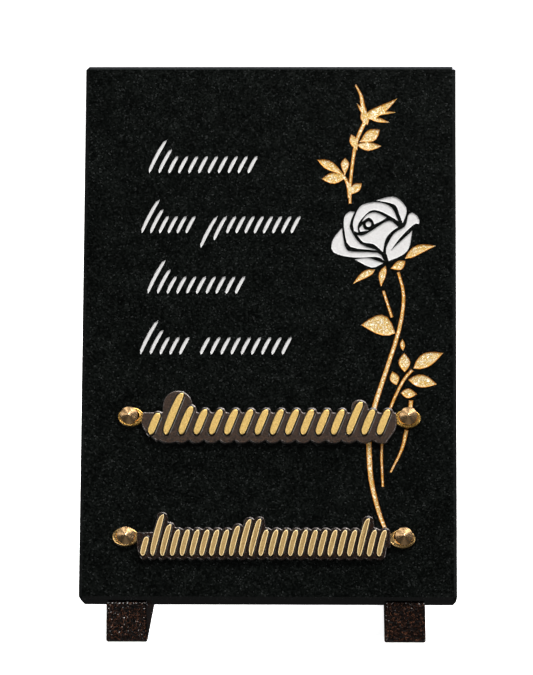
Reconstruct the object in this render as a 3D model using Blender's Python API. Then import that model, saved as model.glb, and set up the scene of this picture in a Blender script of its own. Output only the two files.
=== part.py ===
"""Granite memorial plaque that leans back on two cast feet.

A black slab carries an engraved rose with its stems, rows of engraved strokes and two cast
name bars, each held by two cone-headed screws. Metres, +Z up, +Y towards the back.
"""
import math

import bmesh
import bpy
from mathutils import Vector

# Slab
SLAB_WIDTH = 0.200
SLAB_HEIGHT = 0.290
SLAB_THICKNESS = 0.025
SLAB_ARRIS = 0.0018
LEAN = math.radians(22.0)

# Steps of the curved outlines, and the angle that shades sharp
ROUND_STEPS = 20
CURVE_STEPS = 3
LEAF_STEPS = 6
STROKE_STEPS = 5
SHARP_ANGLE = math.radians(35.0)

# Clearances
FIT_GAP = 0.0003
SHANK_CLEARANCE = 0.0003

# Feet
LEFT_FOOT_INSET = 0.0250
RIGHT_FOOT_INSET = 0.0274
FOOT_TOP_WIDTH = 0.0212
FOOT_BASE_WIDTH = 0.0222
FOOT_HEIGHT = 0.0225
FOOT_LENGTH = 0.100
FOOT_SETBACK = 0.0055
FOOT_REST_HEIGHT = 0.048
FOOT_REST_THICKNESS = 0.007
FOOT_TAIL_HEIGHT = 0.008
FOOT_EDGE = 0.0010
FOOT_SWEEP_START = 0.35
FOOT_SWEEP_STEPS = 4

# Screws
SCREW_HEAD_RADIUS = 0.0047
SCREW_HEAD_RIM = 0.0009
SCREW_CONE_HEIGHT = 0.0034
SCREW_SHANK_RADIUS = 0.0020
SCREW_GRIP = 0.012
SCREW_HOLE_SPARE = 0.001

# Name bars, with heights along the face from the slab's lower edge
BAR_THICKNESS = 0.0030
STROKE_RISE = 0.0012
STROKE_ROOT = 0.0006
STROKE_BOW = 0.03
STROKE_FULLNESS = 0.42
EYELET_LENGTH = 0.0137
EYELET_WIDTH = 0.0100
EYELET_THICKNESS = 0.0022
EYELET_LAP = 0.0006
SLOT_LENGTH = 0.0088
UPPER_SCREW_HEIGHT = 0.0980
UPPER_SCREW_EDGE = 0.0257
LOWER_SCREW_HEIGHT = 0.0337
LOWER_LEFT_SCREW_EDGE = 0.0248
LOWER_RIGHT_SCREW_EDGE = 0.0280

# Sideways and upward offsets of the left and right eyelets from their screws
UPPER_EYELET_SHIFTS = ((0.0011, -0.0005), (-0.0003, -0.0012))
LOWER_EYELET_SHIFTS = ((-0.0003, -0.0005), (-0.0009, -0.0012))

# Engraving
WHITE_DEPTH = 0.0006
GOLD_DEPTH = 0.0009
CUT_PROUD = 0.001
ORNAMENT_RIGHT_MARGIN = 0.0071
ORNAMENT_TOP_MARGIN = 0.0105
ORNAMENT_BASE = 0.0378
ROW_LEFT_MARGIN = 0.0313
ROW_ROSE_GAP = 0.0125
FIRST_ROW_DROP = 0.0594
LAST_ROW_RISE = 0.0335
ROW_STROKE_HEIGHT = 0.0095
ROW_STROKE_WIDTH = 0.0019
ROW_STROKE_PITCH = 0.0052
ROW_SLANT = math.radians(27.0)
ROW_BOW = 0.04

# Drop and rise, in stroke heights, of the strokes that a group starts with
ROW_LEADS = {"tall": ((0.0, 1.95), (0.0, 1.4)), "deep": ((0.85, 1.0), (0.4, 1.0)), "plain": ()}

# Spans of the groups in each row as shares of the column, and what each group starts with
ROW_GROUPS = (
    ((0.04, 0.69, "tall"),),
    ((0.00, 0.32, "tall"), (0.40, 0.95, "deep")),
    ((0.04, 0.62, "tall"),),
    ((0.00, 0.29, "tall"), (0.36, 0.90, "plain")),
)

# Rose and stems as shares of the ornament's height, in per cent, from its lower right corner
ROSE_LEFT = -24.6
PETALS = (
    # back petal
    (((-14.8, 73.6), (-11.2, 74.5), (-9.1, 73.3), (-8.0, 71.3), (-8.9, 68.4)),
     ((-8.9, 68.4), (-9.7, 70.6), (-10.5, 72.5), (-12.5, 73.2), (-14.8, 73.6))),
    # hood over the heart
    (((-19.7, 66.7), (-19.9, 68.8), (-18.5, 72.1), (-16.2, 73.1), (-13.7, 73.1), (-11.3, 71.9),
      (-9.9, 68.9)),
     ((-9.9, 68.9), (-12.0, 70.2), (-14.1, 71.2), (-16.2, 71.2), (-18.7, 68.4), (-18.8, 66.3))),
    # upper fold of the heart
    (((-17.9, 68.8), (-16.9, 70.3), (-14.9, 70.9), (-12.5, 69.7)),
     ((-12.5, 69.7), (-13.7, 68.9), (-15.2, 68.2)),
     ((-15.2, 68.2), (-15.6, 69.1), (-16.5, 69.7), (-17.9, 68.8))),
    # small crescent below the eye
    (((-17.8, 68.1), (-18.5, 67.3), (-18.3, 66.5)),
     ((-18.3, 66.5), (-16.4, 66.8)),
     ((-16.4, 66.8), (-17.4, 67.1), (-17.8, 68.1))),
    # heart
    (((-19.0, 65.7), (-17.6, 65.7), (-15.4, 67.0), (-12.0, 69.0), (-9.9, 67.6)),
     ((-9.9, 67.6), (-11.4, 66.5), (-12.7, 64.8), (-13.3, 61.9)),
     ((-13.3, 61.9), (-15.4, 63.7), (-17.6, 64.1), (-19.0, 65.7))),
    # right petal with its crease
    (((-7.7, 70.2), (-7.0, 70.8), (-5.9, 70.3), (-5.2, 69.1), (-5.3, 68.3)),
     ((-5.3, 68.3), (-6.5, 68.1), (-9.4, 65.2), (-11.4, 62.5)),
     ((-11.4, 62.5), (-9.2, 64.5), (-6.8, 66.7)),
     ((-6.8, 66.7), (-7.5, 62.9), (-9.2, 61.1), (-12.0, 59.9)),
     ((-12.0, 59.9), (-12.6, 62.6), (-10.8, 66.1), (-8.4, 67.7), (-7.7, 70.2))),
    # inner left petal
    (((-19.6, 71.0), (-20.8, 71.0), (-21.9, 69.7), (-21.8, 66.5), (-20.5, 63.1), (-14.6, 62.3)),
     ((-14.6, 62.3), (-18.3, 63.8), (-20.5, 67.0), (-20.5, 68.7), (-19.6, 71.0))),
    # outer left petal
    (((-22.4, 67.3), (-24.4, 64.7), (-24.3, 61.9), (-20.0, 60.7), (-14.8, 60.8), (-13.1, 60.0)),
     ((-13.1, 60.0), (-14.5, 61.7), (-20.2, 62.0), (-21.5, 62.8), (-22.0, 64.4), (-22.4, 67.3))),
    # lower petal
    (((-19.5, 60.2), (-16.8, 60.6), (-13.2, 59.4)),
     ((-13.2, 59.4), (-15.8, 58.4), (-19.5, 60.2))),
)
ROSE_EYE = ((-16.5, 68.2), 0.6)

# Leaves, buds and sepals: base, tip, greatest width, its place along the leaf, and sideways bow
LEAVES = (
    # bud at the top with its sepals, thorn and hip
    ((-18.1, 92.3), (-10.1, 96.9), 2.2, 0.36, -0.05),
    ((-15.8, 92.9), (-10.4, 93.7), 0.8, 0.50, 0.05),
    ((-16.8, 92.6), (-11.8, 91.4), 1.1, 0.45, 0.0),
    ((-17.0, 92.6), (-19.1, 95.8), 0.8, 0.45, 0.0),
    ((-18.0, 94.2), (-16.7, 90.8), 1.9, 0.50, 0.0),
    # leaves of the upper sprig
    ((-18.6, 86.9), (-14.0, 89.7), 2.8, 0.58, -0.02),
    ((-19.2, 86.3), (-13.6, 86.0), 2.0, 0.45, -0.04),
    ((-19.0, 85.0), (-20.4, 88.7), 1.9, 0.55, 0.0),
    ((-21.7, 79.2), (-27.9, 82.9), 2.1, 0.60, -0.03),
    ((-21.4, 78.9), (-26.9, 78.5), 2.6, 0.52, 0.0),
    ((-21.8, 78.9), (-21.7, 83.3), 1.9, 0.66, 0.0),
    ((-20.6, 74.9), (-18.0, 77.5), 2.0, 0.55, 0.05),
    # sepals under the rose
    ((-15.0, 57.9), (-19.9, 54.7), 1.6, 0.36, -0.06),
    ((-12.7, 58.8), (-13.7, 54.1), 1.6, 0.42, -0.06),
    ((-11.6, 58.2), (-8.3, 59.9), 2.1, 0.55, -0.08),
    ((-8.4, 60.4), (-1.6, 63.3), 2.1, 0.42, 0.10),
    # leaves of the lower stems
    ((-10.5, 43.6), (-18.1, 45.5), 4.5, 0.45, -0.14),
    ((-9.0, 42.3), (-8.9, 39.7), 1.1, 0.50, 0.0),
    ((-8.5, 34.9), (-8.6, 39.2), 2.6, 0.50, 0.0),
    ((-6.6, 35.7), (0.0, 39.2), 3.1, 0.45, 0.05),
    ((-7.7, 33.2), (-1.4, 32.2), 2.9, 0.45, 0.03),
    ((-10.3, 32.0), (-11.2, 35.1), 2.1, 0.48, 0.0),
    ((-9.3, 30.3), (-5.8, 30.0), 2.2, 0.45, 0.0),
)

# Stems: width at the start, width at the end and the points of the centre line
STEMS = (
    (0.6, 0.9, ((-20.6, 72.9), (-20.5, 78.0), (-19.7, 84.7), (-18.8, 88.2), (-17.3, 91.6))),
    (1.3, 0.4, ((-17.1, 92.6), (-17.8, 95.2), (-18.2, 97.6), (-19.4, 100.0))),
    (0.8, 0.7, ((-20.7, 74.2), (-20.9, 76.2), (-21.5, 78.3), (-22.9, 80.1))),
    (0.6, 1.2, ((-9.9, 57.4), (-8.7, 52.0), (-9.7, 44.5), (-12.9, 34.2), (-15.2, 26.9), (-16.4, 18.9))),
    (1.2, 0.8, ((-16.4, 19.4), (-15.9, 11.1), (-14.1, 3.6), (-12.3, -1.0))),
    (0.7, 0.5, ((-6.8, 35.4), (-8.8, 33.0), (-11.7, 26.7), (-13.5, 18.6), (-13.3, 9.4))),
    (0.9, 0.9, ((-7.1, 28.6), (-7.3, 25.6))),
    (0.9, 0.4, ((-8.1, 22.0), (-9.1, 17.8), (-11.6, 12.6))),
    (0.6, 0.6, ((-13.2, 53.2), (-11.3, 47.2))),
)

# Raised strokes of the name bars: their row, and the backing that bulges round both ends
UPPER_STROKES = {
    "inset_left": 0.0115, "inset_right": 0.0103, "base_drop": 0.0102, "height": 0.0132, "width": 0.0034,
    "pitch": 0.0080, "slant": math.radians(22.0), "rises": {0: 0.85, 1: 1.67, 2: 1.12, 13: 1.32},
    "top_margin": 0.0016, "top_radius": 0.0029, "domes": {1: 0.0078, 13: 0.0045},
    "base_margin": 0.0046, "base_radius": 0.0054, "lobes": {1: 0.0095, 15: 0.0090},
    "band_top_drop": 0.0014, "band_base_drop": 0.0031, "end_slopes": (1.0, 1.6),
}
LOWER_STROKES = {
    "inset_left": 0.0090, "inset_right": 0.0099, "base_drop": 0.0108, "height": 0.0138, "width": 0.0026,
    "pitch": 0.0052, "slant": math.radians(14.0),
    "rises": {0: 0.72, 1: 1.58, 2: 1.2, 9: 1.15, 10: 1.4, 11: 1.42, 22: 1.45},
    "top_margin": 0.0017, "top_radius": 0.0031, "domes": {},
    "base_margin": 0.0021, "base_radius": 0.0034, "lobes": {},
    "band_top_drop": 0.0010, "band_base_drop": 0.0012, "end_slopes": (3.0, 3.0),
}
NECK_TOP_REACH = 0.0018
NECK_BASE_REACH = 0.0062
BACKING_STEP = 0.0005
BACKING_TOLERANCE = 0.00013


def material(name, colour, roughness, metallic):
    """Plain Principled finish."""
    made = bpy.data.materials.new(name)
    made.use_nodes = True
    shader = made.node_tree.nodes["Principled BSDF"]
    shader.inputs["Base Color"].default_value = (*colour, 1.0)
    shader.inputs["Roughness"].default_value = roughness
    shader.inputs["Metallic"].default_value = metallic
    return made


def add_object(name, bm, parent=None, finish=None):
    """New object from a bmesh, placed under its parent."""
    bmesh.ops.recalc_face_normals(bm, faces=bm.faces)
    mesh = bpy.data.meshes.new(name)
    bm.to_mesh(mesh)
    bm.free()
    made = bpy.data.objects.new(name, mesh)
    bpy.context.scene.collection.objects.link(made)
    made.parent = parent
    if finish:
        mesh.materials.append(finish)
    return made


def combine(target, other, operation, overlapping=False):
    """Boolean of the target with a helper object, which stays hidden."""
    step = target.modifiers.new(other.name, "BOOLEAN")
    step.operation = operation
    step.solver = "EXACT"
    step.use_self = overlapping
    step.object = other
    other.hide_render = True
    other.display_type = "WIRE"


def smooth_run(points, steps):
    """Points of an open curve through the given points, with some steps to each span."""
    knots = [Vector(point) for point in points]
    knots = [2 * knots[0] - knots[1]] + knots + [2 * knots[-1] - knots[-2]]
    run = []
    for before, start, end, after in zip(knots, knots[1:], knots[2:], knots[3:]):
        for step in range(steps):
            t = step / steps
            bend_in = (end - before) / 2
            bend_out = (after - start) / 2
            run.append(start * (2 * t ** 3 - 3 * t ** 2 + 1) + bend_in * (t ** 3 - 2 * t ** 2 + t)
                       + end * (3 * t ** 2 - 2 * t ** 3) + bend_out * (t ** 3 - t ** 2))
    run.append(knots[-2])
    return run


def petal_outline(runs):
    """Closed outline of smooth runs that meet at sharp corners."""
    outline = []
    for run in runs:
        outline.extend(smooth_run(run, CURVE_STEPS)[:-1])
    if runs[-1][-1] != runs[0][0]:
        outline.append(Vector(runs[-1][-1]))
    return outline


def leaf_outline(base, tip, width, widest, bow):
    """Pointed oval from base to tip, bowed to the left of its way by a share of its length."""
    base = Vector(base)
    along = Vector(tip) - base
    side = Vector((-along.y, along.x))
    skew = math.log(0.5) / math.log(widest)
    sides = []
    for step in range(LEAF_STEPS + 1):
        t = step / LEAF_STEPS
        centre = base + along * t + side * bow * math.sin(math.pi * t)
        sides.append((centre, side.normalized() * width / 2 * math.sin(math.pi * t ** skew)))
    left = [centre + reach for centre, reach in sides]
    right = [centre - reach for centre, reach in sides[-2:0:-1]]
    return left + right


def stem_outline(start_width, end_width, points):
    """Tapering band along a smooth centre line."""
    centre = smooth_run(points, CURVE_STEPS)
    last = len(centre) - 1
    left = []
    right = []
    for index, point in enumerate(centre):
        along = centre[min(index + 1, last)] - centre[max(index - 1, 0)]
        across = Vector((-along.y, along.x)).normalized() / 2
        width = start_width + (end_width - start_width) * index / last
        left.append(point + across * width)
        right.append(point - across * width)
    return left + right[::-1]


def oval_outline(centre, half_length, half_width):
    """Ellipse about a centre."""
    turn = 2 * math.pi / ROUND_STEPS
    return [Vector((centre[0] + half_length * math.cos(turn * step),
                    centre[1] + half_width * math.sin(turn * step))) for step in range(ROUND_STEPS)]


def slot_outline(centre, length, width):
    """Round-ended slot that runs sideways."""
    reach = (length - width) / 2
    outline = []
    for step in range(ROUND_STEPS + 1):
        angle = -math.pi / 2 + 2 * math.pi * step / ROUND_STEPS
        side = reach if step <= ROUND_STEPS // 2 else -reach
        outline.append(Vector((centre[0] + side + width / 2 * math.cos(angle),
                               centre[1] + width / 2 * math.sin(angle))))
    return outline


def stroke_outline(foot, height, width, slant, bow):
    """Slanted and slightly bowed stroke with round ends that swells in the middle."""
    foot = Vector(foot)
    along = Vector((height * math.tan(slant), height))
    side = Vector((-along.y, along.x))
    left = []
    right = []
    for step in range(STROKE_STEPS + 1):
        turn = math.pi * step / STROKE_STEPS
        centre = foot + along * (1 - math.cos(turn)) / 2 + side * bow * math.sin(turn)
        reach = side.normalized() * width / 2 * math.sin(turn) ** STROKE_FULLNESS
        left.append(centre + reach)
        right.append(centre - reach)
    return left + right[-2:0:-1]


def thinned(points, tolerance):
    """The points of a line without those that stray from it by less than the tolerance."""
    kept = [points[0]]
    start = 0
    for end in range(2, len(points)):
        along = (points[end] - points[start]).normalized()
        strays = [abs(along.cross(point - points[start])) for point in points[start + 1:end]]
        if max(strays) > tolerance:
            start = end - 1
            kept.append(points[start])
    kept.append(points[-1])
    return kept


def evenly(start, end, pitch):
    """Places from start to end, spaced as near the pitch as fills the span."""
    count = max(1, round((end - start) / pitch))
    return [start + (end - start) * index / count for index in range(count + 1)]


def prism(bm, outline, low, high):
    """Closed prism on an outline, between two heights."""
    below = [bm.verts.new((point.x, point.y, low)) for point in outline]
    above = [bm.verts.new((point.x, point.y, high)) for point in outline]
    bm.faces.new(below[::-1])
    bm.faces.new(above)
    for index in range(len(outline)):
        after = (index + 1) % len(outline)
        bm.faces.new((below[index], below[after], above[after], above[index]))


def turned(bm, profile, centre):
    """Closed turned solid from a profile of radius and height, whose ends lie on the axis."""
    rings = []
    for radius, height in profile:
        count = ROUND_STEPS if radius else 1
        rings.append([bm.verts.new((centre[0] + radius * math.cos(2 * math.pi * step / ROUND_STEPS),
                                    centre[1] + radius * math.sin(2 * math.pi * step / ROUND_STEPS),
                                    height)) for step in range(count)])
    for upper, lower in zip(rings, rings[1:]):
        for step in range(ROUND_STEPS):
            after = (step + 1) % ROUND_STEPS
            corners = [upper[step % len(upper)], lower[step % len(lower)],
                       lower[after % len(lower)], upper[after % len(upper)]]
            bm.faces.new(list(dict.fromkeys(corners)))


def screw_places():
    """Screw centres on the face, by bar: left, then right."""
    half = SLAB_WIDTH / 2
    return {
        "upper": (Vector((UPPER_SCREW_EDGE - half, UPPER_SCREW_HEIGHT)),
                  Vector((half - UPPER_SCREW_EDGE, UPPER_SCREW_HEIGHT))),
        "lower": (Vector((LOWER_LEFT_SCREW_EDGE - half, LOWER_SCREW_HEIGHT)),
                  Vector((half - LOWER_RIGHT_SCREW_EDGE, LOWER_SCREW_HEIGHT))),
    }


def ornament_scale():
    """Length of one per cent of the ornament's height, and its lower right corner."""
    unit = (SLAB_HEIGHT - ORNAMENT_TOP_MARGIN - ORNAMENT_BASE) / 100
    corner = Vector((SLAB_WIDTH / 2 - ORNAMENT_RIGHT_MARGIN, ORNAMENT_BASE))
    return unit, corner


def gold_cutter(face):
    """Cutter for the gilded leaves, sepals and stems."""
    unit, corner = ornament_scale()
    bm = bmesh.new()
    outlines = [leaf_outline(*leaf) for leaf in LEAVES] + [stem_outline(*stem) for stem in STEMS]
    for outline in outlines:
        prism(bm, [corner + point * unit for point in outline], -GOLD_DEPTH, CUT_PROUD)
    return add_object("gold_cutter", bm, face)


def row_strokes():
    """Outlines of the strokes in every engraved row."""
    unit, corner = ornament_scale()
    left = ROW_LEFT_MARGIN - SLAB_WIDTH / 2
    column = corner.x + ROSE_LEFT * unit - ROW_ROSE_GAP - left
    first_base = SLAB_HEIGHT - FIRST_ROW_DROP
    last_base = UPPER_SCREW_HEIGHT + LAST_ROW_RISE
    lean_run = ROW_STROKE_HEIGHT * math.tan(ROW_SLANT)
    outlines = []
    for row, groups in enumerate(ROW_GROUPS):
        base = first_base + (last_base - first_base) * row / (len(ROW_GROUPS) - 1)
        for start, end, lead in groups:
            feet = evenly(left + column * start, left + column * end - lean_run, ROW_STROKE_PITCH)
            reaches = list(ROW_LEADS[lead]) + [(0.0, 1.0)] * len(feet)
            for place, (drop, rise) in zip(feet, reaches):
                lift = Vector((math.tan(ROW_SLANT), 1)) * ROW_STROKE_HEIGHT
                foot = Vector((place, base)) - lift * drop
                height = ROW_STROKE_HEIGHT * (drop + rise)
                outlines.append(stroke_outline(foot, height, ROW_STROKE_WIDTH, ROW_SLANT, ROW_BOW))
    return outlines


def white_cutter(face):
    """Cutter for the white petals and the rows of strokes."""
    unit, corner = ornament_scale()
    bm = bmesh.new()
    petals = [petal_outline(runs) for runs in PETALS]
    petals.append(oval_outline(ROSE_EYE[0], ROSE_EYE[1], ROSE_EYE[1]))
    outlines = [[corner + point * unit for point in outline] for outline in petals]
    for outline in outlines + row_strokes():
        prism(bm, outline, -WHITE_DEPTH, CUT_PROUD)
    return add_object("white_cutter", bm, face)


def hole_cutter(face):
    """Cutter for the four blind screw holes."""
    bm = bmesh.new()
    radius = SCREW_SHANK_RADIUS + SHANK_CLEARANCE
    bottom = -SCREW_GRIP - SCREW_HOLE_SPARE
    for pair in screw_places().values():
        for centre in pair:
            turned(bm, ((0, CUT_PROUD), (radius, CUT_PROUD), (radius, bottom), (0, bottom)), centre)
    return add_object("hole_cutter", bm, face)


def slab(face):
    """Polished slab with chamfered edges, its engraving and its screw holes."""
    bm = bmesh.new()
    half = SLAB_WIDTH / 2
    corners = [Vector((side, up)) for side, up in
               ((-half, 0), (half, 0), (half, SLAB_HEIGHT), (-half, SLAB_HEIGHT))]
    prism(bm, corners, -SLAB_THICKNESS, 0)
    made = add_object("granite_slab", bm, face, material("granite", (0.012, 0.012, 0.013), 0.25, 0.0))
    edge = made.modifiers.new("arris", "BEVEL")
    edge.width = SLAB_ARRIS
    edge.segments = 1
    edge.limit_method = "NONE"
    combine(made, hole_cutter(face), "DIFFERENCE")
    combine(made, white_cutter(face), "DIFFERENCE")
    combine(made, gold_cutter(face), "DIFFERENCE", overlapping=True)


def bar_strokes(screws, design):
    """Foot and height of each raised stroke on a bar."""
    left, right = screws
    base = left.y - design["base_drop"]
    lean_run = design["height"] * math.tan(design["slant"])
    first = left.x + design["inset_left"]
    last = right.x - design["inset_right"] - lean_run
    places = evenly(first, last, design["pitch"])
    return [(Vector((place, base)), design["height"] * design["rises"].get(index, 1.0))
            for index, place in enumerate(places)]


def bulge(x, circles, hand):
    """Height of the outermost circle edge at x, upwards or downwards, where there is one."""
    edges = []
    for centre, radius in circles:
        reach = radius ** 2 - (x - centre.x) ** 2
        if reach > 0:
            edges.append(hand * centre.y + math.sqrt(reach))
    return max(edges, default=-math.inf)


def backing_outline(eyelets, middle, strokes, design):
    """Backing plate whose edge bulges round both ends of every stroke and tapers to the eyelets."""
    inner = EYELET_LENGTH / 2 - EYELET_LAP
    start = eyelets[0].x + inner
    end = eyelets[1].x - inner
    base = strokes[0][0].y
    lift = Vector((math.tan(design["slant"]), 1))
    tops = []
    feet = []
    for index, (foot, height) in enumerate(strokes):
        radius = design["domes"].get(index, design["top_radius"])
        tops.append((foot + lift * (height + design["top_margin"] - radius), radius))
        radius = design["lobes"].get(index, design["base_radius"])
        feet.append((foot + lift * (radius - design["base_margin"]), radius))
    band_top = base + design["height"] - design["band_top_drop"]
    band_base = base - design["band_base_drop"]
    left_slope, right_slope = design["end_slopes"]
    upper = []
    lower = []
    neck_top = middle + NECK_TOP_REACH
    neck_base = middle - NECK_BASE_REACH
    for x in evenly(start, end, BACKING_STEP):
        spread = min((x - start) * left_slope, (end - x) * right_slope)
        high = max(neck_top, bulge(x, tops, 1))
        low = min(neck_base, -bulge(x, feet, -1))
        if tops[0][0].x < x < tops[-1][0].x:
            high = max(high, band_top)
        if feet[0][0].x < x < feet[-1][0].x:
            low = min(low, band_base)
        upper.append(Vector((x, min(high, neck_top + spread))))
        lower.append(Vector((x, max(low, neck_base - spread))))
    return thinned(lower, BACKING_TOLERANCE) + thinned(upper, BACKING_TOLERANCE)[::-1]


def name_bar(name, face, screws, eyelet_shifts, design, finish):
    """Cast bar: backing plate, raised strokes and a slotted eyelet at each end."""
    eyelets = [screw + Vector(shift) for screw, shift in zip(screws, eyelet_shifts)]
    strokes = bar_strokes(screws, design)
    top = FIT_GAP + BAR_THICKNESS

    bm = bmesh.new()
    prism(bm, backing_outline(eyelets, screws[0].y, strokes, design), FIT_GAP, top)
    made = add_object(name, bm, face, finish)

    bm = bmesh.new()
    for centre in eyelets:
        outline = oval_outline(centre, EYELET_LENGTH / 2, EYELET_WIDTH / 2)
        prism(bm, outline, FIT_GAP, FIT_GAP + EYELET_THICKNESS)
    combine(made, add_object(name + "_eyelets", bm, face), "UNION")

    bm = bmesh.new()
    for foot, height in strokes:
        outline = stroke_outline(foot, height, design["width"], design["slant"], STROKE_BOW)
        prism(bm, outline, top - STROKE_ROOT, top + STROKE_RISE)
    combine(made, add_object(name + "_strokes", bm, face), "UNION")

    bm = bmesh.new()
    slot_width = 2 * (SCREW_SHANK_RADIUS + SHANK_CLEARANCE)
    for eyelet, screw in zip(eyelets, screws):
        outline = slot_outline((eyelet.x, screw.y), SLOT_LENGTH, slot_width)
        prism(bm, outline, FIT_GAP - CUT_PROUD, top + CUT_PROUD)
    combine(made, add_object(name + "_slots", bm, face), "DIFFERENCE")


def screw(name, face, centre, finish):
    """Cone-headed screw whose shank passes the eyelet into the slab."""
    seat = FIT_GAP + EYELET_THICKNESS + FIT_GAP
    rim = seat + SCREW_HEAD_RIM
    profile = ((0, rim + SCREW_CONE_HEIGHT), (SCREW_HEAD_RADIUS, rim), (SCREW_HEAD_RADIUS, seat),
               (SCREW_SHANK_RADIUS, seat), (SCREW_SHANK_RADIUS, -SCREW_GRIP), (0, -SCREW_GRIP))
    bm = bmesh.new()
    turned(bm, profile, centre)
    made = add_object(name, bm, face, finish)
    made.data.shade_smooth()
    made.data.set_sharp_from_angle(angle=SHARP_ANGLE)


def face_height():
    """Height of the slab's lower front edge that seats the slab on the feet."""
    return FOOT_HEIGHT + FIT_GAP * math.cos(LEAN) + FOOT_SETBACK * math.sin(LEAN)


def side_point(up, back):
    """Place in the side view, depth and height, of a point up the face and behind it."""
    return Vector((up * math.sin(LEAN) + back * math.cos(LEAN),
                   face_height() + up * math.cos(LEAN) - back * math.sin(LEAN)))


def foot_profile():
    """Side view of a foot: front, sloping seat, rest against the slab's back, and tail."""
    behind = SLAB_THICKNESS + FIT_GAP
    front = side_point(-FIT_GAP, FOOT_SETBACK)
    heel = side_point(-FIT_GAP, behind)
    rest = side_point(FOOT_REST_HEIGHT, behind)
    rest_back = side_point(FOOT_REST_HEIGHT, behind + FOOT_REST_THICKNESS)
    root = side_point(0, behind + FOOT_REST_THICKNESS)
    tail = front.x + FOOT_LENGTH
    sweep_start = root.lerp(rest_back, FOOT_SWEEP_START)
    sweep_end = Vector(((sweep_start.x + tail) / 2, FOOT_TAIL_HEIGHT))
    base = [Vector((front.x, 0)), Vector((tail, 0)), Vector((tail, FOOT_TAIL_HEIGHT))]
    sweep = []
    for step in range(FOOT_SWEEP_STEPS + 1):
        t = 1 - step / FOOT_SWEEP_STEPS
        sweep.append(sweep_start.lerp(root, t).lerp(root.lerp(sweep_end, t), t))
    return base + sweep + [rest_back, rest, heel, front]


def foot(name, side, inset, depth_shift, finish):
    """Cast foot, drafted so that it is widest on the ground."""
    profile = foot_profile()
    bm = bmesh.new()
    walls = []
    for hand in (-1, 1):
        wall = []
        for point in profile:
            share = min(point.y / FOOT_HEIGHT, 1)
            half = (FOOT_BASE_WIDTH + (FOOT_TOP_WIDTH - FOOT_BASE_WIDTH) * share) / 2
            wall.append(bm.verts.new((hand * half, point.x, point.y)))
        walls.append(wall)
    bm.faces.new(walls[0])
    bm.faces.new(walls[1][::-1])
    for index in range(len(profile)):
        after = (index + 1) % len(profile)
        bm.faces.new((walls[0][index], walls[0][after], walls[1][after], walls[1][index]))
    made = add_object(name, bm, None, finish)
    made.location = (side * (SLAB_WIDTH / 2 - inset), depth_shift, 0)
    edge = made.modifiers.new("edge", "BEVEL")
    edge.width = FOOT_EDGE
    edge.segments = 2
    edge.limit_method = "ANGLE"
    edge.angle_limit = SHARP_ANGLE
    made.data.shade_smooth()
    made.data.set_sharp_from_angle(angle=SHARP_ANGLE)


def build():
    """Clears the scene and models the plaque, centred on the ground."""
    for old in list(bpy.data.objects):
        bpy.data.objects.remove(old)

    foremost = SLAB_ARRIS * math.sin(LEAN)
    rearmost = side_point(SLAB_HEIGHT - SLAB_ARRIS, SLAB_THICKNESS).x
    depth_shift = -(foremost + rearmost) / 2

    face = bpy.data.objects.new("plaque_face", None)
    bpy.context.scene.collection.objects.link(face)
    face.location = (0, depth_shift, face_height())
    face.rotation_euler = (math.pi / 2 - LEAN, 0, 0)

    slab(face)

    bronze = material("patinated_bronze", (0.16, 0.11, 0.075), 0.4, 0.8)
    dark_bronze = material("dark_bronze", (0.13, 0.09, 0.06), 0.35, 0.8)
    brass = material("polished_brass", (0.78, 0.55, 0.25), 0.2, 1.0)
    foot_paint = material("hammered_brown_paint", (0.035, 0.02, 0.013), 0.35, 0.3)

    places = screw_places()
    name_bar("upper_name_bar", face, places["upper"], UPPER_EYELET_SHIFTS, UPPER_STROKES, bronze)
    name_bar("lower_name_bar", face, places["lower"], LOWER_EYELET_SHIFTS, LOWER_STROKES, dark_bronze)
    for bar, pair in places.items():
        for hand, centre in zip(("left", "right"), pair):
            screw(bar + "_screw_" + hand, face, centre, brass)

    foot("foot_left", -1, LEFT_FOOT_INSET, depth_shift, foot_paint)
    foot("foot_right", 1, RIGHT_FOOT_INSET, depth_shift, foot_paint)


build()
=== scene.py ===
"""Looks of the granite memorial plaque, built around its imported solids.

Lengths in the shape functions are millimetres in the slab's face frame: x to the right, y up the
face and z out of it, from the middle of the face's lower edge. Pieces are placed in metres, and
the finishes, the studio and the camera are in metres too.
"""

import math

import bmesh
import bpy
from mathutils import Matrix, Vector, kdtree, noise


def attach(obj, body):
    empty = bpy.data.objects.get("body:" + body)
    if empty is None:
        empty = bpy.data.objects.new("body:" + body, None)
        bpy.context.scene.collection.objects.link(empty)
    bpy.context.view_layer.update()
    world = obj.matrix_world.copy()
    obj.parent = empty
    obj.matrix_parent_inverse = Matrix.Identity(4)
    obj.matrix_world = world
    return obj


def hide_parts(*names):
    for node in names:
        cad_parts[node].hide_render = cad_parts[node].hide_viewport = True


MM = 0.001

# Tolerances: welded points, cuts, level faces, flat angles, faces that point out and zero
MERGE_DISTANCE = 0.0005
CUT_TOLERANCE = 1e-4
LEVEL_TOLERANCE = 0.02
FLAT_ANGLE = math.radians(1)
OUTWARD = 0.9
TINY = 1e-9

# Edges that turn by more than this stay sharp
PIECE_CREASE = math.radians(50)
SCREW_CREASE = math.radians(30)
FOOT_CREASE = math.radians(60)

# Heights above the face, and the bars' and screws' own sizes, as the solids have them
FIT_GAP = 0.3
BAR_TOP = 3.3
EYELET_TOP = 2.5
STROKE_TOP = 4.5
WHITE_FLOOR = -0.6
GOLD_FLOOR = -0.9
EYELET_LENGTH = 13.7

# Petals lie to the right of this, strokes to its left
ROSE_SIDE = 32.0

# Hammered and sandblasted relief: a coarse wave with a finer one over it
COARSE_SHARE = 0.6
FINE_SHARE = 0.4
FINE_SCALE = 2.1
FINE_SHIFT = Vector((7.0, 3.0, 5.0))

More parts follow.
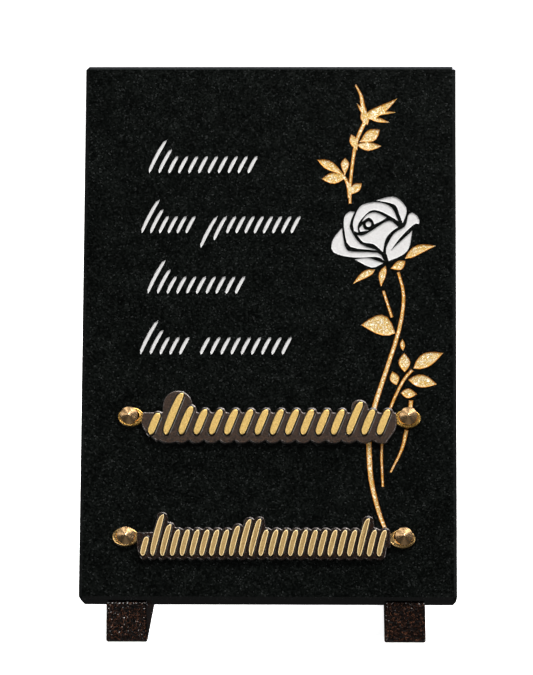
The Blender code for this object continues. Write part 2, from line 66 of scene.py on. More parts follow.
# Painted engraving: grid, cove along the walls and relief of the sandblasted floor
PAINT_START = -0.03
WHITE_LIFT = 0.04
GOLD_LIFT = 0.25
WHITE_GRID = 0.34
WHITE_COVE = 0.32
WHITE_RELIEF = 0.03
WHITE_RELIEF_SIZE = 0.7
GOLD_GRID = 0.24
GOLD_COVE = 0.85
GOLD_RELIEF = 0.20
GOLD_RELIEF_SIZE = 0.95

# Cast bars: places of the finishes in a bar's list, then shapes, with a stroke's profile as reach
# outside its top and height
FIELD, TOP, EYELET, WORN, SIDE, EDGE = range(6)
BACKING_GRID = 0.36
RIM_ROUND = 0.55
WORN_WIDTH = 0.20
FIELD_RELIEF = 0.07
FIELD_RELIEF_SIZE = 0.9
STROKE_SIDE = ((1.25, 2.90), (1.25, 3.21), (1.00, 3.29), (0.79, 3.41), (0.61, 3.57), (0.46, 3.78),
               (0.33, 4.02), (0.18, 4.26))
# The edge rings take a lighter gold than the crown: a painted highlight along each stroke's rim.
STROKE_EDGE = ((0.04, 4.34), (-0.06, 4.43), (-0.26, 4.46))
STROKE_CROWN = ((-0.44, 4.47), (-0.70, 4.48))
STROKE_POINTS = 40
LOOP_STEPS = 6
OUTLINE_STEP = 0.35
CUSP_TURN = math.radians(-22)
CORNER_TURN = math.radians(55)
RIM_INSETS = (0.08, 0.12, 0.15, 0.20)
EYELET_ROUND = 0.45
EYELET_ROUND_STEPS = 3
EYELET_POINTS = 64
SLOT_ROUND = 0.2

# Screws. The broken rim starts at shares of its own size inside the edge and above it, and a point of
# the shank's end that is nearer the axis than AXIS_REACH is the end's middle
SCREW_POINTS = 96
CONE_TIP = 0.22
TIP_DROP = 0.5
CONE_RINGS = 5
RIM_BREAK = 0.12
BREAK_REACH = 0.3
BREAK_RISE = 0.1
AXIS_REACH = 1.0
LATHE_PITCH = 0.14

# Feet: grid, hammering and the band above the sole that it leaves alone
FOOT_GRID = 0.45
HAMMER_DEPTH = 0.22
HAMMER_SIZE = 1.5
SOLE_BAND = 0.05

# Studio: floor, surroundings and soft lights as name, azimuth, elevation, distance, width,
# height, radiance and colour
WARM = (1.0, 0.98, 0.95)
COOL = (0.95, 0.97, 1.0)
FLOOR_REACH = 8.0
FLOOR_GLOW = 0.9
WORLD_DIM = 0.012
WORLD_GLOW = 0.18
GLOW_WAY = (0.0, -0.66, -0.75)
GLOW_REACH = (0.86, 1.0)
AIM = Vector((0, 0, 0.15))
LIGHTS = (
    ("key", 32, 68, 2.4, 1.8, 1.5, 11.0, WARM),
    ("back_right", 135, 34, 1.5, 1.2, 1.0, 8.0, (0.96, 0.94, 1.0)),
    ("back_top", 180, 58, 1.8, 1.6, 0.8, 0.4, (0.86, 0.92, 1.0)),
    ("upper_right", 100, 50, 1.5, 0.3, 0.6, 2.2, WARM),
    ("upper_left", -114, 63, 1.5, 0.35, 0.6, 2.0, WARM),
    ("left_side", -92, 12, 1.6, 0.8, 1.0, 0.09, COOL),
    ("right_side", 92, 12, 1.6, 0.8, 1.0, 0.14, COOL),
    ("left_glance", -78, 27, 1.5, 0.5, 0.8, 1.3, WARM),
    ("right_glance", 45, 8, 1.5, 0.6, 0.5, 5.0, WARM),
    ("front_low", -28, 5, 1.5, 0.8, 0.5, 6.0, WARM),
)

# Camera: the face as it sees it, the focal length as a share of the picture's height, and its reach
SEEN_TILT = math.radians(10.20)
SEEN_TURN = math.radians(1.42)
SEEN_ROLL = math.radians(0.071)
FACE_FOOT = (0.00060, -0.13855, -2.01187)
FOCAL_SHARE = 3813 / 675
SENSOR = 36.0
NEAR = 0.05
FAR = 50

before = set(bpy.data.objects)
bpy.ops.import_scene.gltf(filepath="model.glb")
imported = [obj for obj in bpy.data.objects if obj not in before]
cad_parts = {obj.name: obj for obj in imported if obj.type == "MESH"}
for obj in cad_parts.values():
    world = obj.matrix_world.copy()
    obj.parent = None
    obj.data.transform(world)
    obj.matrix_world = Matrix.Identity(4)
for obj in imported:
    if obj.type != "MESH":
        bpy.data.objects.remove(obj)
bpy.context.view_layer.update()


def face_frame():
    """Matrix from the face frame, in metres, to the row frame."""
    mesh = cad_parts["granite_slab"].data
    front = max((face for face in mesh.polygons if face.normal.y < 0), key=lambda face: face.area)
    out = Vector((0, front.normal.y, front.normal.z)).normalized()
    up = Vector((0, out.z, -out.y))
    lowest = min(vertex.co.dot(up) for vertex in mesh.vertices)
    origin = out * front.center.dot(out) + up * lowest
    placed = Matrix((Vector((1, 0, 0)), up, out)).transposed().to_4x4()
    placed.translation = origin
    return placed


FACE = face_frame()
TO_FACE = FACE.inverted()


def node_mesh(node, view=TO_FACE):
    """A node's mesh in the face frame or another, in millimetres."""
    bm = bmesh.new()
    bm.from_mesh(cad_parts[node].data)
    bmesh.ops.transform(bm, matrix=Matrix.Scale(1 / MM, 4) @ view, verts=bm.verts)
    bmesh.ops.remove_doubles(bm, verts=bm.verts, dist=MERGE_DISTANCE)
    return bm


def merge_flat(bm):
    """Merges the triangles of each flat area into one face."""
    bmesh.ops.dissolve_limit(bm, angle_limit=FLAT_ANGLE, verts=bm.verts, edges=bm.edges)


def split_large(bm):
    """Triangles in place of the faces with more than four corners."""
    bmesh.ops.triangulate(bm, faces=[face for face in bm.faces if len(face.verts) > 4])


def level_faces(node, height):
    """The part of a node that is flat at a height, facing out of the face."""
    bm = node_mesh(node)
    bm.normal_update()
    others = [face for face in bm.faces if face.normal.z < OUTWARD
              or abs(face.calc_center_median().z - height) > LEVEL_TOLERANCE]
    bmesh.ops.delete(bm, geom=others, context="FACES")
    merge_flat(bm)
    return bm


def boundary_loops(bm):
    """Ordered boundary loops of a flat mesh, the longest first and equal ones from the left."""
    after = {}
    for edge in bm.edges:
        if edge.is_boundary:
            side = edge.link_loops[0]
            after.setdefault(side.vert, []).append(side.link_loop_next.vert)
    loops = []
    while after:
        start = next(iter(after))
        loop = [start]
        while True:
            ways = after[loop[-1]]
            step = ways.pop()
            if not ways:
                del after[loop[-1]]
            if step == start:
                break
            loop.append(step)
        loops.append([vert.co.xy for vert in loop])
    return sorted(loops, key=lambda loop: (-len(loop), min(place[:] for place in loop)))


def cut_grid(bm, step, axes="xy"):
    """Cuts the faces along evenly spaced planes."""
    for axis in axes:
        index = "xyz".index(axis)
        normal = Vector([float(place == index) for place in range(3)])
        low = min(vert.co[index] for vert in bm.verts)
        high = max(vert.co[index] for vert in bm.verts)
        for place in range(1, math.ceil((high - low) / step)):
            geometry = bm.verts[:] + bm.edges[:] + bm.faces[:]
            bmesh.ops.bisect_plane(bm, geom=geometry, dist=CUT_TOLERANCE,
                                   plane_co=normal * (low + place * step), plane_no=normal)


def edge_distances(bm, reach):
    """Distance from each vertex to the nearest boundary edge, up to a reach."""
    edges = [edge for edge in bm.edges if edge.is_boundary]
    finder = kdtree.KDTree(len(edges))
    for index, edge in enumerate(edges):
        finder.insert((edge.verts[0].co + edge.verts[1].co) / 2, index)
    finder.balance()
    longest = max(edge.calc_length() for edge in edges) / 2
    found = {}
    for vert in bm.verts:
        nearest = reach
        if vert.is_boundary:
            nearest = 0.0
        else:
            for _, index, _ in finder.find_range(vert.co, reach + longest):
                start = edges[index].verts[0].co
                along = edges[index].verts[1].co - start
                share = (vert.co - start).dot(along) / max(along.length_squared, TINY)
                share = min(max(share, 0), 1)
                nearest = min(nearest, (vert.co - start - along * share).length)
        found[vert] = nearest
    return found


def crumple(place, size):
    """Relief between 0 and 1 of a hammered or sandblasted surface."""
    spot = place / size
    coarse = COARSE_SHARE * noise.noise(spot)
    fine = FINE_SHARE * noise.noise(spot * FINE_SCALE + FINE_SHIFT)
    return 0.5 + 0.5 * (coarse + fine)


def corners(points):
    """Lowest and highest corner of the points' box."""
    low = Vector([min(places) for places in zip(*points)])
    high = Vector([max(places) for places in zip(*points)])
    return low, high


def add_piece(name, bm, finishes, replaced=None, place=FACE, crease=PIECE_CREASE):
    """Object from a mesh in millimetres, riding on the plaque."""
    bmesh.ops.transform(bm, matrix=Matrix.Scale(MM, 4), verts=bm.verts)
    mesh = bpy.data.meshes.new(name)
    bm.to_mesh(mesh)
    bm.free()
    piece = bpy.data.objects.new(name, mesh)
    bpy.context.scene.collection.objects.link(piece)
    piece.matrix_world = place
    for finish in finishes:
        mesh.materials.append(finish)
    mesh.shade_smooth()
    mesh.set_sharp_from_angle(angle=crease)
    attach(piece, "root")
    if replaced:
        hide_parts(replaced)
    return piece


class Nodes:
    """Short names for building a material's node tree."""

    def __init__(self, name):
        self.material = bpy.data.materials.new(name)
        self.material.use_nodes = True
        self.tree = self.material.node_tree
        self.shader = self.tree.nodes["Principled BSDF"]
        self.place = self.add("ShaderNodeTexCoord").outputs["Object"]

    def add(self, kind, inputs=(), **settings):
        made = self.tree.nodes.new(kind)
        for key, value in settings.items():
            setattr(made, key, value)
        for key, value in dict(inputs).items():
            self.set(made.inputs[key], value)
        return made

    def set(self, socket, value):
        if isinstance(value, bpy.types.NodeSocket):
            self.tree.links.new(value, socket)
        elif isinstance(value, tuple) and len(value) == 3 and len(socket.default_value) == 4:
            socket.default_value = (*value, 1.0)
        else:
            socket.default_value = value

    def shade(self, **values):
        for key, value in values.items():
            self.set(self.shader.inputs[key.replace("_", " ")], value)

    def noise(self, size, detail=2.0, roughness=0.5, distortion=0.0):
        made = self.add("ShaderNodeTexNoise", {"Vector": self.place, "Scale": 1 / size, "Detail": detail,
                                               "Roughness": roughness, "Distortion": distortion})
        return made.outputs["Fac"]

    def cells(self, size):
        made = self.add("ShaderNodeTexVoronoi", {"Vector": self.place, "Scale": 1 / size})
        return made.outputs["Color"]

    def ramp(self, factor, stops):
        made = self.add("ShaderNodeValToRGB", {"Fac": factor})
        while len(made.color_ramp.elements) < len(stops):
            made.color_ramp.elements.new(0.5)
        for element, (position, colour) in zip(made.color_ramp.elements, stops):
            element.position = position
            element.color = (*colour, 1.0) if isinstance(colour, tuple) else (colour, colour, colour, 1.0)
        return made.outputs["Color"]

    def range(self, value, low, high, to_low, to_high):
        made = self.add("ShaderNodeMapRange", {"Value": value, "From Min": low, "From Max": high,
                                               "To Min": to_low, "To Max": to_high})
        return made.outputs["Result"]

    def mix(self, factor, first, second, blend="MIX"):
        made = self.add("ShaderNodeMix", data_type="RGBA", blend_type=blend)
        self.set(made.inputs["Factor"], factor)
        self.set(made.inputs["A"], first)
        self.set(made.inputs["B"], second)
        return made.outputs["Result"]

    def maths(self, operation, first, second=0.0):
        made = self.add("ShaderNodeMath", operation=operation)
        self.set(made.inputs[0], first)
        self.set(made.inputs[1], second)
        return made.outputs[0]

    def bump(self, height, strength, distance):
        made = self.add("ShaderNodeBump", {"Height": height, "Strength": strength, "Distance": distance})
        return made.outputs["Normal"]


def granite():
    """Polished near-black granite with fine grey grains, honed on the back."""
    made = Nodes("black_granite_finish")
    grains = made.cells(0.00062)
    pick = made.add("ShaderNodeSeparateColor", {"Color": grains}).outputs["Red"]
    speckle = made.ramp(pick, ((0.0, (0.0005, 0.0007, 0.0006)), (0.45, (0.0019, 0.0025, 0.0022)),
                               (0.80, (0.0047, 0.0058, 0.0053)), (0.95, (0.0088, 0.0102, 0.0097)),
                               (1.0, (0.020, 0.022, 0.022))))
    cloud = made.ramp(made.noise(0.009, 3.0), ((0.35, 0.70), (0.65, 1.25)))
    made.shade(Base_Color=made.mix(1.0, speckle, cloud, "MULTIPLY"))
    facing = made.add("ShaderNodeNewGeometry").outputs["Normal"]
    backwards = made.add("ShaderNodeSeparateXYZ", {"Vector": facing}).outputs["Y"]
    honed = made.range(backwards, 0.5, 0.9, 0.0, 0.32)
    made.shade(Roughness=made.maths("ADD", made.range(pick, 0.0, 1.0, 0.09, 0.14), honed))
    made.shade(Specular_IOR_Level=0.45)
    made.shade(Normal=made.bump(made.noise(0.0009, 2.0), 0.04, 0.0002))
    return made.material


def white_paint():
    """Matt white paint over the sandblasted floor."""
    made = Nodes("white_paint_finish")
    mottle = made.ramp(made.noise(0.0011, 4.0, 0.65), ((0.3, (0.49, 0.49, 0.50)),
                                                       (0.7, (0.60, 0.60, 0.61))))
    made.shade(Base_Color=mottle, Roughness=made.range(made.noise(0.0008), 0.3, 0.7, 0.55, 0.75))
    made.shade(Normal=made.bump(made.noise(0.0005, 3.0), 0.35, 0.0002))
    return made.material


def gold_paint():
    """Gold paint on the crinkled floor: orange gold in its hollows, cream painted highlights on its ridges
    and dark orange painted shade on the walls.
    """
    made = Nodes("gold_paint_finish")
    folds = made.maths("SUBTRACT", made.noise(0.0017, 2.0, 0.6, 1.3), 0.5)
    ridge = made.range(made.maths("ABSOLUTE", folds), 0.0, 0.062, 1.0, 0.0)
    # Painted highlight: cream along the crinkle's ridges, broken up by noise.
    ridge_highlight = made.maths("MULTIPLY", ridge, made.range(made.noise(0.0012, 2.0), 0.36, 0.52, 0.45, 1.0))
    floor = made.ramp(ridge_highlight, ((0.0, (0.54, 0.325, 0.070)), (0.25, (0.76, 0.54, 0.18)),
                             (0.50, (0.98, 0.88, 0.55)), (0.78, (1.0, 1.0, 0.92))))
    # Painted shade: walls that tip away from the face are mixed towards dark orange.
    facing = made.add("ShaderNodeTexCoord").outputs["Normal"]
    upright = made.add("ShaderNodeSeparateXYZ", {"Vector": facing}).outputs["Z"]
    level = made.range(upright, 0.74, 0.96, 0.0, 1.0)
    made.shade(Base_Color=made.mix(level, (0.58, 0.22, 0.014), floor), Metallic=0.25)
    made.shade(Roughness=made.range(ridge, 0.0, 1.0, 0.46, 0.25))
    made.shade(Normal=made.bump(ridge, 0.8, 0.0002))
    return made.material


def patina(name, dark, light, roughness, coat):
    """Brown patina of a cast bar, lighter where it is worn."""
    made = Nodes(name)
    wear = made.noise(0.0009, 4.0, 0.7)
    made.shade(Base_Color=made.ramp(wear, ((0.38, dark), (0.64, light))), Metallic=0.2)
    made.shade(Roughness=made.range(made.noise(0.0009, 3.0), 0.3, 0.7, roughness + 0.1, roughness - 0.08))
    made.shade(Specular_IOR_Level=0.3, Coat_Weight=coat, Coat_Roughness=0.12)
    made.shade(Normal=made.bump(made.noise(0.0011, 2.0), 0.5, 0.0004))
    return made.material


def polished(name, dark, light, roughness, metallic=0.9):
    """Polished metal with fine scratches and slight tarnish."""
    made = Nodes(name)
    tarnish = made.noise(0.0009, 4.0, 0.7)
    made.shade(Base_Color=made.ramp(tarnish, ((0.35, dark), (0.62, light))), Metallic=metallic)
    made.shade(Roughness=made.range(made.noise(0.0009, 3.0), 0.3, 0.7, roughness - 0.06, roughness + 0.08))
    made.shade(Normal=made.bump(made.noise(0.0004, 2.0), 0.25, 0.0002))
    return made.material


def turned_brass():
    """Brass with the fine rings of the lathe, which draw highlights out along the radius."""
    made = Nodes("turned_brass_finish")
    parts = made.add("ShaderNodeSeparateXYZ", {"Vector": made.place}).outputs
    squares = [made.maths("MULTIPLY", parts[axis], parts[axis]) for axis in ("X", "Y")]
    radius = made.maths("SQRT", made.maths("ADD", squares[0], squares[1]))
    rings = made.maths("SINE", made.maths("MULTIPLY", radius, 2 * math.pi / (LATHE_PITCH * MM)))
    tarnish = made.noise(0.0020, 3.0)
    made.shade(Base_Color=made.ramp(tarnish, ((0.3, (0.80, 0.47, 0.20)), (0.65, (0.92, 0.63, 0.35)))))
    made.shade(Metallic=0.95, Roughness=made.range(tarnish, 0.3, 0.7, 0.32, 0.22), Anisotropic=0.6)
    around = made.add("ShaderNodeTangent", direction_type="RADIAL", axis="Z").outputs["Tangent"]
    made.shade(Tangent=around, Normal=made.bump(rings, 0.06, 0.00003))
    return made.material


def hammered_paint():
    """Dark brown hammered paint with rusty mottling and small glossy dents."""
    made = Nodes("hammered_paint_finish")
    mottle = made.noise(0.0011, 3.0, 0.65, 0.8)
    colour = made.ramp(mottle, ((0.42, (0.0012, 0.0006, 0.0005)), (0.51, (0.0060, 0.0024, 0.0013)),
                                (0.59, (0.044, 0.015, 0.007)), (0.70, (0.17, 0.072, 0.040))))
    made.shade(Base_Color=colour, Metallic=0.0, Specular_IOR_Level=0.1)
    made.shade(Coat_Weight=1.0, Coat_Roughness=0.05, Coat_IOR=2.0)
    made.shade(Roughness=made.range(mottle, 0.3, 0.7, 0.22, 0.45))
    dents = made.bump(made.noise(0.0013, 1.0, 0.5), 1.0, 0.00031)
    made.shade(Normal=dents, Coat_Normal=dents)
    return made.material


def paint_coat(name, bm, floor, lift, grid, cove, relief, size, finish):
    """Coat of paint over an engraved floor, coved up to its walls."""
    cut_grid(bm, grid)
    reach = edge_distances(bm, cove)
    lowest = floor + lift
    for vert in bm.verts:
        share = reach[vert] / cove
        drop = math.sin(math.pi / 2 * share)
        bumps = relief * crumple(vert.co, size) * share
        vert.co.z = PAINT_START + (lowest + bumps - PAINT_START) * drop
    split_large(bm)
    return add_piece(name, bm, [finish], crease=math.pi)


def only(bm, keep):
    """Keeps the faces whose middle passes a test."""
    others = [face for face in bm.faces if not keep(face.calc_center_median())]
    bmesh.ops.delete(bm, geom=others, context="FACES")
    return bm


def engraving():
    """White petals and strokes, and gilded leaves and stems."""
    white = white_paint()
    for name, hand in (("painted_petals", 1), ("painted_strokes", -1)):
        bm = only(level_faces("granite_slab", WHITE_FLOOR),
                  lambda middle: middle.x * hand > ROSE_SIDE * hand)
        paint_coat(name, bm, WHITE_FLOOR, WHITE_LIFT, WHITE_GRID, WHITE_COVE, WHITE_RELIEF,
                   WHITE_RELIEF_SIZE, white)
    paint_coat("gilded_leaves", level_faces("granite_slab", GOLD_FLOOR), GOLD_FLOOR, GOLD_LIFT, GOLD_GRID,
               GOLD_COVE, GOLD_RELIEF, GOLD_RELIEF_SIZE, gold_paint())


def curve_point(before, start, end, after, t):
    """Point at a share of the way on the smooth curve from start to end."""
    bend_in = (end - before) / 2
    bend_out = (after - start) / 2
    return (start * (2 * t ** 3 - 3 * t ** 2 + 1) + bend_in * (t ** 3 - 2 * t ** 2 + t)
            + end * (3 * t ** 2 - 2 * t ** 3) + bend_out * (t ** 3 - t ** 2))


def smooth_loop(points, count):
    """Closed smooth curve through the points, as evenly spaced points."""
    fine = []
    total = len(points)
    for index in range(total):
        around = [points[(index + step) % total] for step in (-1, 0, 1, 2)]
        fine += [curve_point(*around, step / LOOP_STEPS) for step in range(LOOP_STEPS)]
    lengths = [0.0]
    for index, point in enumerate(fine):
        lengths.append(lengths[-1] + (fine[(index + 1) % len(fine)] - point).length)
    spaced = []
    index = 0
    for step in range(count):
        wanted = lengths[-1] * step / count
        while lengths[index + 1] < wanted:
            index += 1
        share = (wanted - lengths[index]) / max(lengths[index + 1] - lengths[index], TINY)
        spaced.append(fine[index].lerp(fine[(index + 1) % len(fine)], share))
    return spaced


def turning(before, point, after):
    """Angle by which a line turns at a point, positive to the left."""
    return -(point - before).angle_signed(after - point, 0.0)


def smooth_outline(points):
    """Closed outline, counterclockwise, with its curves smoothed and its corners kept."""
    total = len(points)
    threes = zip(points[-1:] + points[:-1], points, points[1:] + points[:1])
    turns = [turning(*three) for three in threes]
    kept = [index for index, turn in enumerate(turns) if turn < CUSP_TURN or turn > CORNER_TURN]
    smooth = []
    for start, end in zip(kept, kept[1:] + [kept[0] + total]):
        run = [points[index % total] for index in range(start, end + 1)]
        run = [2 * run[0] - run[1]] + run + [2 * run[-1] - run[-2]]
        for before, first, last, after in zip(run, run[1:], run[2:], run[3:]):
            steps = max(1, round((last - first).length / OUTLINE_STEP))
            smooth += [curve_point(before, first, last, after, step / steps) for step in range(steps)]
    return smooth


def moved_out(points, distance):
    """Closed loop, counterclockwise, moved outwards, or inwards by a negative distance."""
    moved = []
    for index, point in enumerate(points):
        along = (points[(index + 1) % len(points)] - points[index - 1]).normalized()
        moved.append(point + Vector((along.y, -along.x)) * distance)
    return moved


def ring(bm, points, height):
    """Vertices of a loop at one height."""
    return [bm.verts.new((point.x, point.y, height)) for point in points]


def band(bm, lower, upper, finish):
    """Faces between two rings of vertices."""
    for index in range(len(lower)):
        after = (index + 1) % len(lower)
        face = bm.faces.new((lower[index], lower[after], upper[after], upper[index]))
        face.material_index = finish


def raised_stroke(bm, outline, flare):
    """Cast stroke with drafted patinated sides, a polished, slightly crowned top and, between them, an
    edge ring in a lighter gold that is a painted highlight.
    """
    rings = []
    finishes = []
    for profile, finish in ((STROKE_SIDE, SIDE), (STROKE_EDGE, EDGE), (STROKE_CROWN, TOP)):
        for reach, height in profile:
            spread = reach * flare if reach > 0 else reach
            rings.append(ring(bm, moved_out(outline, spread), height))
            finishes.append(finish)
    bm.faces.new(rings[0][::-1])
    for lower, upper, finish in zip(rings, rings[1:], finishes[1:]):
        band(bm, lower, upper, finish)
    cap = bm.faces.new(rings[-1])
    cap.material_index = finishes[-1]


def backing_plate(bm, outline):
    """Backing with a rounded raised rim and a faintly hammered field."""
    plate = bmesh.new()
    field = plate.faces.new([plate.verts.new((point.x, point.y, BAR_TOP)) for point in outline])
    plate.normal_update()
    for thickness in RIM_INSETS:
        bmesh.ops.inset_region(plate, faces=[field], thickness=thickness, use_even_offset=False)
    cut_grid(plate, BACKING_GRID)
    reach = edge_distances(plate, RIM_ROUND)
    for vert in plate.verts:
        share = 1 - reach[vert] / RIM_ROUND
        drop = RIM_ROUND * (1 - math.sqrt(max(0.0, 1 - share ** 2)))
        dents = FIELD_RELIEF * (1 - share) * crumple(vert.co, FIELD_RELIEF_SIZE)
        vert.co.z = BAR_TOP - drop - dents
    for face in plate.faces:
        face.material_index = WORN if min(reach[vert] for vert in face.verts) < WORN_WIDTH else FIELD
    rim = [edge for edge in plate.edges if edge.is_boundary]
    walls = bmesh.ops.extrude_edge_only(plate, edges=rim)["geom"]
    for vert in walls:
        if isinstance(vert, bmesh.types.BMVert):
            vert.co.z = FIT_GAP
    bmesh.ops.holes_fill(plate, edges=[edge for edge in plate.edges if edge.is_boundary])
    bmesh.ops.recalc_face_normals(plate, faces=plate.faces)
    split_large(plate)
    mesh = bpy.data.meshes.new("plate")
    plate.to_mesh(mesh)
    plate.free()
    bm.from_mesh(mesh)
    bpy.data.meshes.remove(mesh)


def oval(centre, half_length, half_width):
    """Ellipse, counterclockwise."""
    turn = 2 * math.pi / EYELET_POINTS
    return [centre + Vector((half_length * math.cos(turn * step), half_width * math.sin(turn * step)))
            for step in range(EYELET_POINTS)]


def slot(centre, half_length, radius):
    """Round-ended slot with its points at the same turns as an oval's."""
    turn = 2 * math.pi / EYELET_POINTS
    points = []
    for step in range(EYELET_POINTS):
        across = math.cos(turn * step)
        side = math.copysign(half_length - radius, across) if abs(across) > TINY else 0
        points.append(centre + Vector((side + radius * across, radius * math.sin(turn * step))))
    return points


def eyelet(bm, outer, opening, hand):
    """Slotted oval end with rounded, polished edges."""
    low, high = corners(outer)
    half = EYELET_LENGTH / 2
    centre = Vector((low.x + half if hand < 0 else high.x - half, (low.y + high.y) / 2))
    across = (high.y - low.y) / 2
    slot_low, slot_high = corners(opening)
    middle = (slot_low + slot_high) / 2
    reach = (slot_high.x - slot_low.x) / 2
    radius = (slot_high.y - slot_low.y) / 2
    rings = [ring(bm, oval(centre, half, across), FIT_GAP)]
    for step in range(EYELET_ROUND_STEPS + 1):
        turn = math.pi / 2 * step / EYELET_ROUND_STEPS
        tuck = EYELET_ROUND * (1 - math.cos(turn))
        height = EYELET_TOP - EYELET_ROUND * (1 - math.sin(turn))
        rings.append(ring(bm, oval(centre, half - tuck, across - tuck), height))
    rings.append(ring(bm, slot(middle, reach + SLOT_ROUND, radius + SLOT_ROUND), EYELET_TOP))
    rings.append(ring(bm, slot(middle, reach, radius), EYELET_TOP - SLOT_ROUND))
    rings.append(ring(bm, slot(middle, reach, radius), FIT_GAP))
    for lower, upper in zip(rings, rings[1:] + rings[:1]):
        band(bm, lower, upper, EYELET)


def name_bar(node, flare, finishes):
    """Detailed casting that stands for a bar's solid. The flare widens its strokes' sides."""
    bm = bmesh.new()
    backing_plate(bm, smooth_outline(boundary_loops(level_faces(node, BAR_TOP))[0]))
    for outline in boundary_loops(level_faces(node, STROKE_TOP)):
        raised_stroke(bm, smooth_loop(outline, STROKE_POINTS), flare)
    loops = boundary_loops(level_faces(node, EYELET_TOP))
    for hand in (-1, 1):
        own = [loop for loop in loops if loop[0].x * hand > 0]
        outer, opening = sorted(own, key=lambda loop: min(point.y for point in loop))
        eyelet(bm, outer, opening, hand)
    bmesh.ops.recalc_face_normals(bm, faces=bm.faces)
    return add_piece(node + "_casting", bm, finishes, node)


def turned(profile):
    """Body turned from a profile of reaches and heights, which starts and ends on the axis."""
    bm = bmesh.new()
    rings = []
    for reach, height in profile:
        count = SCREW_POINTS if reach else 1
        rings.append([bm.verts.new((reach * math.cos(2 * math.pi * step / SCREW_POINTS),
                                    reach * math.sin(2 * math.pi * step / SCREW_POINTS), height))
                      for step in range(count)])
    for upper, lower in zip(rings, rings[1:]):
        for step in range(SCREW_POINTS):
            after = (step + 1) % SCREW_POINTS
            around = [upper[step % len(upper)], lower[step % len(lower)],
                      lower[after % len(lower)], upper[after % len(upper)]]
            bm.faces.new(list(dict.fromkeys(around)))
    bmesh.ops.recalc_face_normals(bm, faces=bm.faces)
    return bm


def screw(node, finish):
    """Turned screw with a crisp cone head, its edges just broken."""
    bm = node_mesh(node)
    low, high = corners([vert.co for vert in bm.verts])
    axis = (low.xy + high.xy) / 2
    levels = sorted({round(vert.co.z, 3) for vert in bm.verts})
    seat, rim = levels[-3], levels[-2]
    end = [vert.co for vert in bm.verts if abs(vert.co.z - levels[0]) < LEVEL_TOLERANCE]
    shank = min(reach for reach in [(place.xy - axis).length for place in end] if reach > AXIS_REACH)
    bm.free()
    radius = (high.x - low.x) / 2
    slope = (high.z - rim) / radius
    profile = [(0, high.z - CONE_TIP * slope * TIP_DROP), (CONE_TIP, high.z - CONE_TIP * slope)]
    for step in range(1, CONE_RINGS):
        reach = CONE_TIP + (radius - RIM_BREAK - CONE_TIP) * step / (CONE_RINGS - 1)
        profile.append((reach, high.z - reach * slope))
    profile += [(radius - RIM_BREAK * BREAK_REACH, rim + RIM_BREAK * BREAK_RISE),
                (radius, rim - RIM_BREAK), (radius, seat + RIM_BREAK), (radius - RIM_BREAK, seat),
                (shank, seat), (shank, low.z), (0, low.z)]
    return add_piece(node + "_turned", turned(profile), [finish], node,
                     FACE @ Matrix.Translation(axis.to_3d() * MM), SCREW_CREASE)


def foot(node, finish):
    """Cast foot whose hammered skin lies just inside its solid."""
    upright = Matrix.Identity(4)
    bm = node_mesh(node, upright)
    merge_flat(bm)
    cut_grid(bm, FOOT_GRID, "xyz")
    split_large(bm)
    bm.normal_update()
    for vert in bm.verts:
        if vert.co.z > SOLE_BAND:
            vert.co -= vert.normal * HAMMER_DEPTH * crumple(vert.co, HAMMER_SIZE)
    return add_piece(node + "_hammered", bm, [finish], node, upright, FOOT_CREASE)


def softbox(name, azimuth, elevation, distance, width, height, radiance, colour):
    """Rectangular soft light aimed at the plaque. Azimuth 0 is in front, 90 to the right."""
    turn = math.radians(azimuth)
    rise = math.radians(elevation)
    way = Vector((math.sin(turn) * math.cos(rise), -math.cos(turn) * math.cos(rise), math.sin(rise)))
    data = bpy.data.lights.new(name, "AREA")
    data.shape = "RECTANGLE"
    data.size = width
    data.size_y = height
    data.energy = radiance * math.pi * width * height
    data.color = colour
    lamp = bpy.data.objects.new(name, data)
    lamp.location = AIM + way * distance
    lamp.rotation_euler = (-way).to_track_quat("-Z", "Y").to_euler()
    bpy.context.scene.collection.objects.link(lamp)


def pale_floor():
    """Floor that looks white and doesn't show in the plaque's polish."""
    made = Nodes("pale_floor_finish")
    made.shade(Base_Color=made.ramp(made.noise(0.05), ((0.4, 0.86), (0.6, 0.88))))
    made.shade(Roughness=made.range(made.noise(0.02), 0.4, 0.6, 0.75, 0.85))
    made.shade(Emission_Color=(1.0, 1.0, 1.0), Emission_Strength=FLOOR_GLOW)
    bm = bmesh.new()
    bmesh.ops.create_grid(bm, x_segments=1, y_segments=1, size=FLOOR_REACH)
    mesh = bpy.data.meshes.new("floor")
    bm.to_mesh(mesh)
    bm.free()
    mesh.materials.append(made.material)
    floor = bpy.data.objects.new("floor", mesh)
    bpy.context.scene.collection.objects.link(floor)
    floor.visible_glossy = False
    floor.visible_diffuse = False


def surroundings():
    """Dim surroundings with a soft glow from below and in front, which the screws and feet reflect."""
    world = bpy.data.worlds.new("studio")
    world.use_nodes = True
    tree = world.node_tree
    place = tree.nodes.new("ShaderNodeTexCoord").outputs["Generated"]
    along = tree.nodes.new("ShaderNodeVectorMath")
    along.operation = "DOT_PRODUCT"
    tree.links.new(place, along.inputs[0])
    along.inputs[1].default_value = GLOW_WAY
    level = tree.nodes.new("ShaderNodeMapRange")
    tree.links.new(along.outputs["Value"], level.inputs["Value"])
    for socket, value in (("From Min", GLOW_REACH[0]), ("From Max", GLOW_REACH[1]),
                          ("To Min", WORLD_DIM), ("To Max", WORLD_GLOW)):
        level.inputs[socket].default_value = value
    background = tree.nodes["Background"]
    background.inputs["Color"].default_value = (1.0, 1.0, 1.0, 1.0)
    tree.links.new(level.outputs["Result"], background.inputs["Strength"])
    bpy.context.scene.world = world


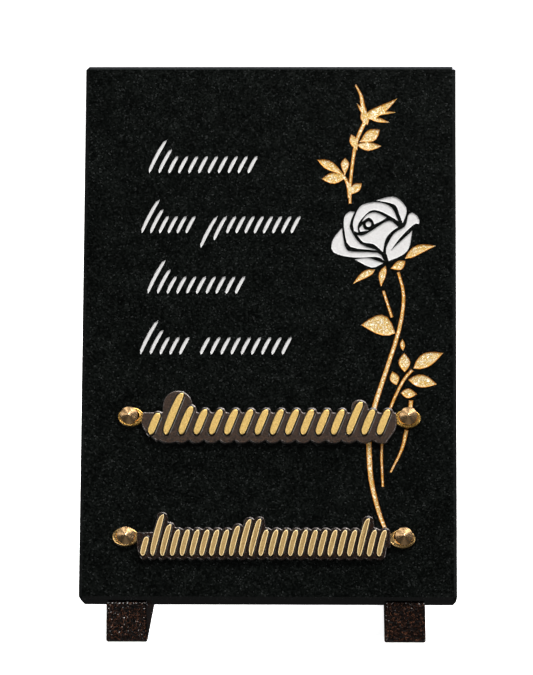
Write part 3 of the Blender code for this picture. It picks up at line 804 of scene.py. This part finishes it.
def camera():
    """Camera at the photograph's angle."""
    data = bpy.data.cameras.new("camera")
    data.sensor_width = SENSOR
    data.lens = FOCAL_SHARE * SENSOR
    data.clip_start = NEAR
    data.clip_end = FAR
    made = bpy.data.objects.new("camera", data)
    bpy.context.scene.collection.objects.link(made)
    seen = (Matrix.Rotation(-SEEN_ROLL, 4, "Z") @ Matrix.Rotation(-SEEN_TURN, 4, "Y")
            @ Matrix.Rotation(-SEEN_TILT, 4, "X"))
    made.matrix_world = FACE @ (Matrix.Translation(FACE_FOOT) @ seen).inverted()
    bpy.context.scene.camera = made


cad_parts["granite_slab"].material_slots[0].material = granite()
engraving()
name_bar("upper_name_bar", 1.0,
         [patina("upper_bar_patina", (0.006, 0.0033, 0.0020), (0.058, 0.032, 0.020), 0.42, 0.12),
          polished("upper_bar_polish", (0.56, 0.36, 0.10), (0.76, 0.53, 0.18), 0.42, 0.6),
          polished("upper_eyelet_polish", (0.50, 0.27, 0.05), (0.80, 0.49, 0.14), 0.26),
          polished("upper_bar_worn_edge", (0.10, 0.085, 0.080), (0.22, 0.20, 0.195), 0.30),
          patina("upper_bar_hollows", (0.006, 0.004, 0.003), (0.020, 0.013, 0.010), 0.20, 1.0),
          # Lighter gold on the strokes' edge rings: a painted highlight.
          polished("upper_bar_edge_highlight", (0.62, 0.40, 0.11), (0.86, 0.62, 0.24), 0.36, 0.7)])
name_bar("lower_name_bar", 0.75,
         [patina("lower_bar_patina", (0.002, 0.0012, 0.0009), (0.032, 0.0170, 0.0115), 0.20, 0.5),
          polished("lower_bar_polish", (0.37, 0.235, 0.085), (0.53, 0.36, 0.150), 0.38, 0.6),
          polished("lower_eyelet_polish", (0.50, 0.30, 0.10), (0.78, 0.52, 0.22), 0.22),
          polished("lower_bar_worn_edge", (0.06, 0.050, 0.046), (0.16, 0.145, 0.14), 0.22),
          patina("lower_bar_hollows", (0.006, 0.004, 0.003), (0.016, 0.010, 0.008), 0.20, 1.0),
          # Near-white gold, mostly not metallic, on the strokes' edge rings: a painted highlight.
          polished("lower_bar_edge_highlight", (0.86, 0.60, 0.27), (1.0, 0.82, 0.46), 0.40, 0.2)])
brass = turned_brass()
for bar in ("upper", "lower"):
    for side in ("left", "right"):
        screw(bar + "_screw_" + side, brass)
paint = hammered_paint()
for side in ("left", "right"):
    foot("foot_" + side, paint)
pale_floor()
surroundings()
for light in LIGHTS:
    softbox(*light)
camera()
bpy.context.scene.view_settings.view_transform = "Standard"
